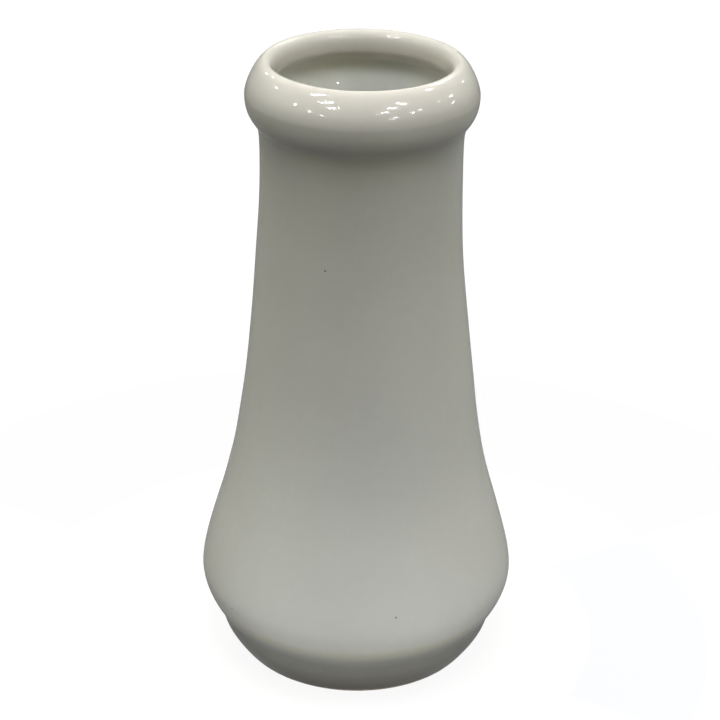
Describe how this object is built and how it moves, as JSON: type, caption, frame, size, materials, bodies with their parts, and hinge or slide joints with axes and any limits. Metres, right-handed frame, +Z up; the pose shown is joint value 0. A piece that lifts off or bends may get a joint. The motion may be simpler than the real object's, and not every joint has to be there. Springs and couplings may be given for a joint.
{
  "type": "flower vase",
  "caption": "Tall white porcelain flower vase with a rolled collar at the mouth, a slim neck widening to a low round belly, and a banded foot.",
  "frame": {"origin": "on the vase's axis, in the plane of the edge it stands on", "axes": "+Z up along the vase's axis to the mouth; the vase is round, so X and Y are any two level directions, and -Y is taken as the front"},
  "size_m": [0.0772, 0.077, 0.1515],
  "materials": {
    "bare_porcelain": "matt, fine-grained unglazed porcelain",
    "outside_glaze": "glossy clear-white glaze",
    "inside_glaze": "glossy clear-white glaze",
    "base_glaze": "glossy clear-white glaze"
  },
  "bodies": {
    "root": {"porcelain_body": "bare_porcelain", "glaze_outside": "outside_glaze", "glaze_inside": "inside_glaze", "base_glaze": "base_glaze"}
  },
  "joints": []
}
